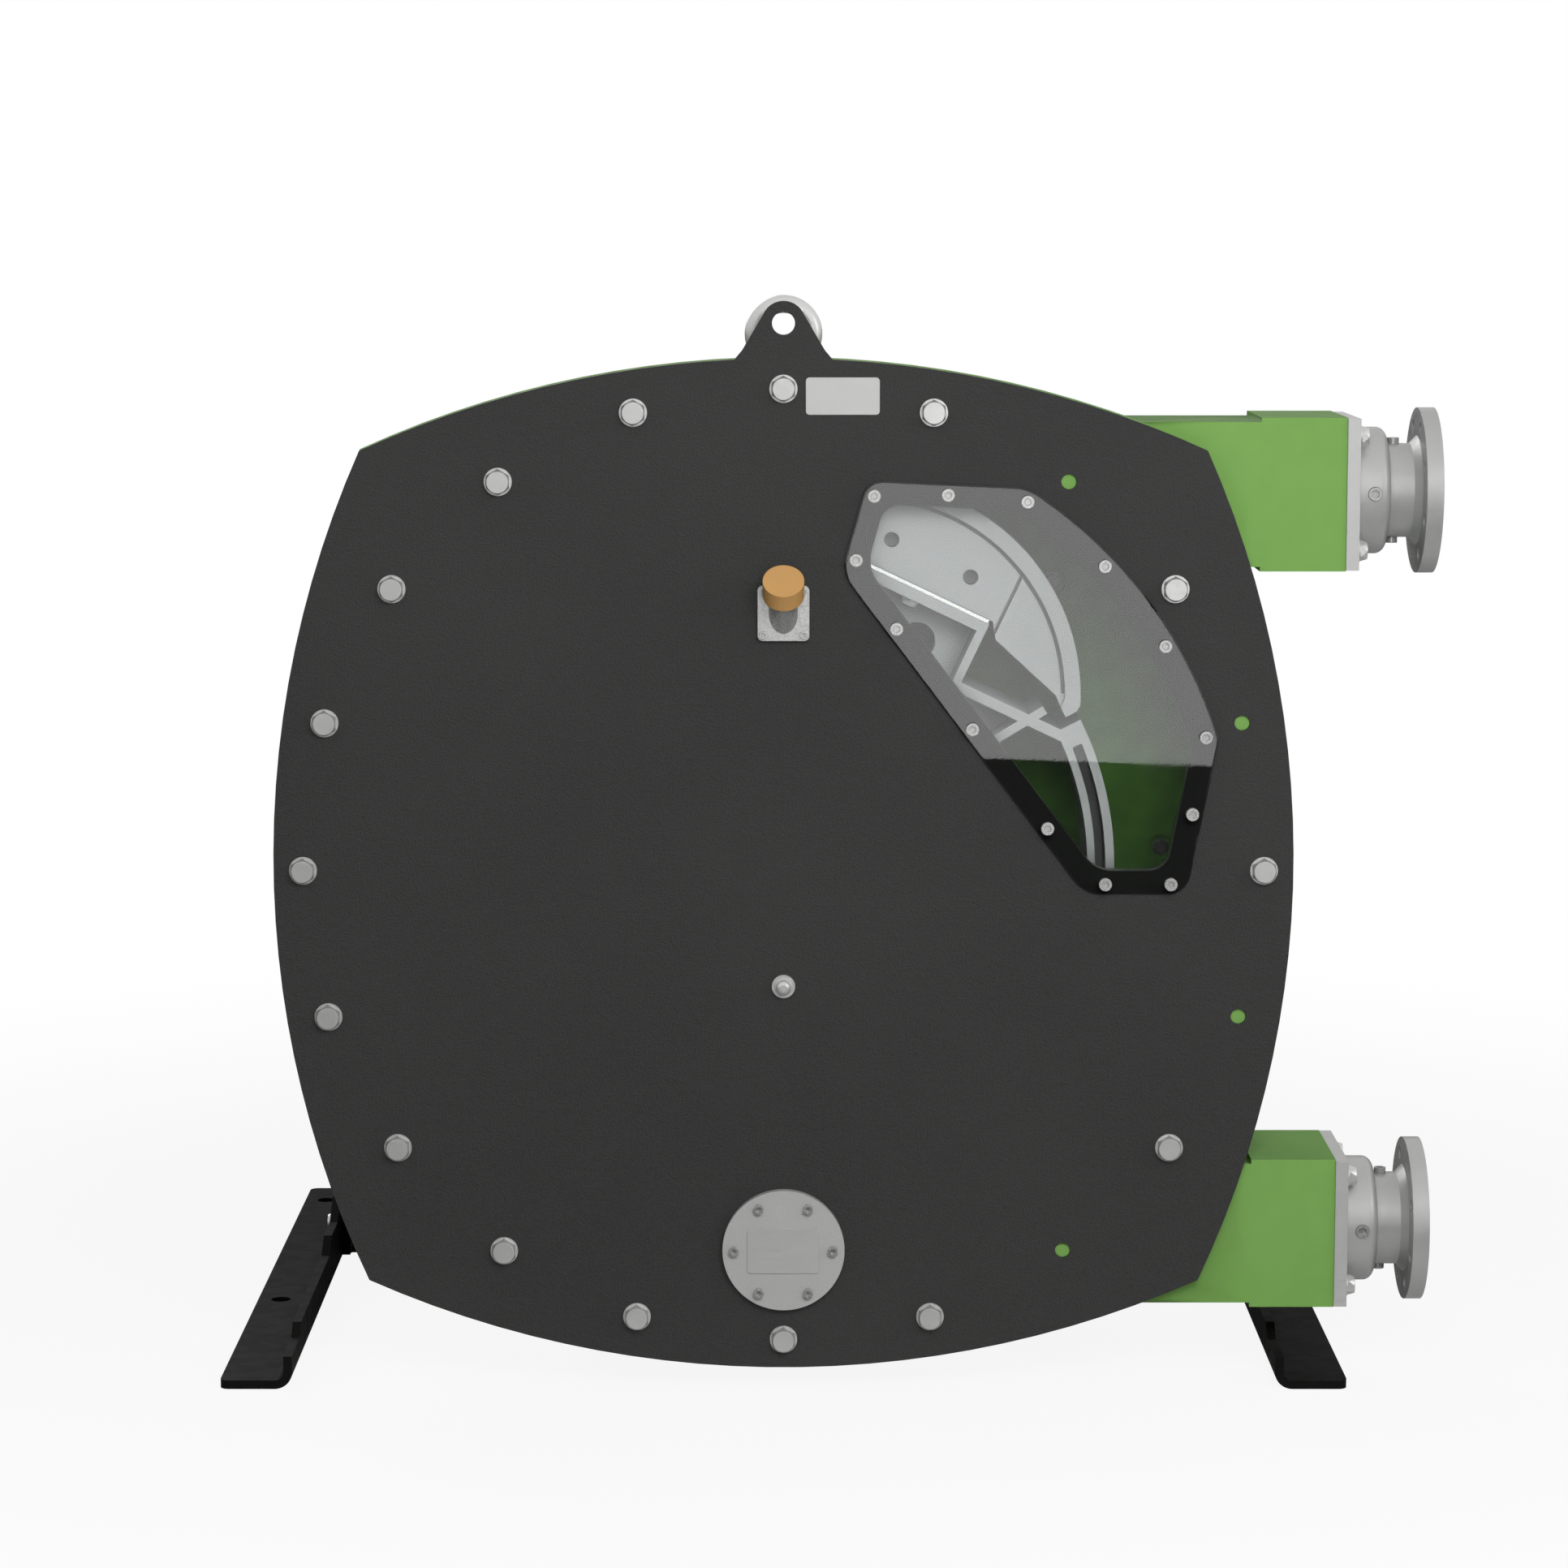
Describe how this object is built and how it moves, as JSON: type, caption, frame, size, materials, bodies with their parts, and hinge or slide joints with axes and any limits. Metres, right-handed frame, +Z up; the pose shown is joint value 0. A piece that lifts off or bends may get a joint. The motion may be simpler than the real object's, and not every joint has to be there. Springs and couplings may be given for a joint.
{
  "type": "peristaltic pump",
  "caption": "Large peristaltic hose pump with a dark barrel-square cover, corner window, green casing, flanged ports, black feet and a gearmotor.",
  "frame": {"origin": "on the floor, centre of the four foot-bolt holes", "axes": "+X towards the port flanges, -Y towards the front cover, +Z up"},
  "size_m": [1.6252, 1.2588, 1.4645],
  "materials": {
    "cover_paint": "fine textured powder coat",
    "casing_paint": "satin paint",
    "pale_paint": "satin",
    "plate_alloy": "matt",
    "black_rubber": "matt",
    "hose_rubber": "matt, lightly wrapped",
    "clear_pane": "clear, polished",
    "zinc_steel": "bright zinc",
    "stainless": "turned",
    "dark_bolt": "black oxide",
    "brass_cap": "satin",
    "rotor_alloy": "as cast, machined faces",
    "frame_paint": "satin black",
    "motor_paint": "satin",
    "fan_plastic": "moulded"
  },
  "bodies": {
    "pump": {"back_wall_bolts": "dark_bolt", "bearing_housing": "casing_paint", "casing_back": "casing_paint", "cover_blank_plate": "plate_alloy", "cover_bolts": "zinc_steel", "cover_gasket": "black_rubber", "cover_washers": "zinc_steel", "drain_plug": "zinc_steel", "fan_cowl": "motor_paint", "filler_pipe": "stainless", "filler_plate": "stainless", "filler_screws": "stainless", "foot_left": "frame_paint", "foot_right": "frame_paint", "frame_bolts": "zinc_steel", "frame_nuts": "zinc_steel", "frame_washers": "zinc_steel", "front_bearing": "zinc_steel", "front_cover": "cover_paint", "gear_unit": "casing_paint", "gear_unit_bolts": "zinc_steel", "hose": "hose_rubber", "housing_bolts": "zinc_steel", "level_plug": "zinc_steel", "lifting_eye": "zinc_steel", "lower_port_box": "casing_paint", "lower_port_flange": "stainless", "lower_port_hub": "stainless", "lower_port_plate": "stainless", "motor_body": "motor_paint", "port_plate_bolts": "zinc_steel", "port_plugs": "stainless", "pump_casing": "casing_paint", "rear_bearing": "zinc_steel", "service_blank_plate": "plate_alloy", "service_cover": "pale_paint", "service_screws": "stainless", "shaft_seal": "black_rubber", "support_frame": "frame_paint", "terminal_box": "motor_paint", "upper_port_box": "casing_paint", "upper_port_flange": "stainless", "upper_port_hub": "stainless", "upper_port_plate": "stainless", "window_pane": "clear_pane", "window_screws": "stainless", "window_seal_ring": "black_rubber"},
    "rotor_body": {"rotor": "rotor_alloy", "shoe_a": "rotor_alloy", "shoe_b": "rotor_alloy", "shims_a": "stainless", "shims_b": "stainless", "shoe_bolts": "zinc_steel", "drive_shaft": "stainless", "rotor_key": "stainless", "hub_cap": "stainless", "hub_cap_bolt": "zinc_steel"},
    "motor_rotor": {"motor_shaft": "stainless", "motor_fan": "fan_plastic"},
    "cap_body": {"filler_cap": "brass_cap"}
  },
  "joints": [
    {"name": "rotor_spin", "type": "hinge", "parent": "pump", "child": "rotor_body", "pos_m": [0, -0.665, 0.71], "axis": [0, 1, 0], "continuous": true, "deforming": ["hose"]},
    {"name": "motor_spin", "type": "hinge", "parent": "pump", "child": "motor_rotor", "pos_m": [0, 0.199, 0.71], "axis": [0, 1, 0], "continuous": true},
    {"name": "filler_cap_lift", "type": "slide", "parent": "pump", "child": "cap_body", "axis": [0, -0.7071, 0.7071], "range_m": [0, 0.06]}
  ],
  "couplings": [
    {"joint": "motor_spin", "follows": "rotor_spin", "ratio": 36}
  ]
}
